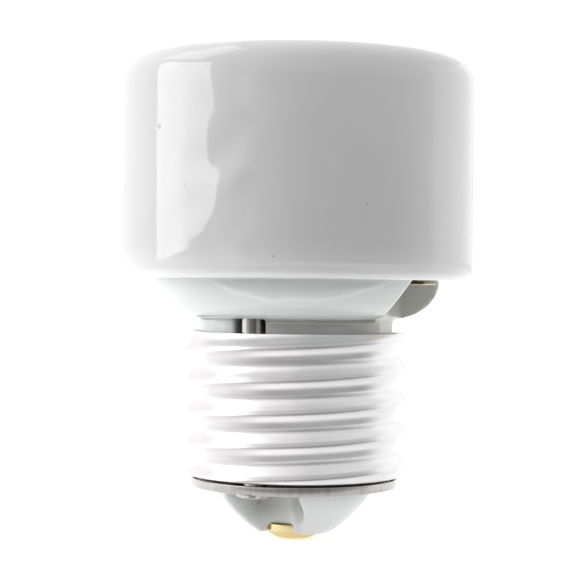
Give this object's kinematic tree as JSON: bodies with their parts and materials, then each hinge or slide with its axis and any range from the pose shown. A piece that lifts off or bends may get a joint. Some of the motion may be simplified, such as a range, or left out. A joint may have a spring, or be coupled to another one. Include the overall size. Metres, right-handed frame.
{
  "type": "screw-in lamp socket",
  "caption": "White glazed porcelain lamp socket with a medium screw base below and a threaded socket for the same lamp base above.",
  "frame": {"origin": "on the axis, level with the top edge of the screw shell", "axes": "+Z along the axis towards the mouth of the socket, -Y towards the front of the picture"},
  "size_m": [0.041, 0.041, 0.0556],
  "materials": {
    "porcelain": "clear glossy glaze over white porcelain",
    "shell_metal": "bright rolled sheet",
    "ring_metal": "dull plated",
    "rivet_metal": "bright plated",
    "brass": "plain sheet, a little dulled"
  },
  "bodies": {
    "socket": {"porcelain_body": "porcelain", "screw_shell": "shell_metal", "base_ring": "ring_metal", "shell_rivets": "rivet_metal", "socket_shell": "brass", "base_contact": "brass", "centre_rivet": "brass", "contact_foot": "brass"},
    "centre_contact": {"contact_tongue": "brass"}
  },
  "joints": [
    {"name": "contact_flex", "type": "hinge", "parent": "socket", "child": "centre_contact", "pos_m": [0.0035, 0, 0.0063], "axis": [0, -1, 0], "range_deg": [0, 8], "stiffness_Nm_per_rad": 0.2}
  ]
}
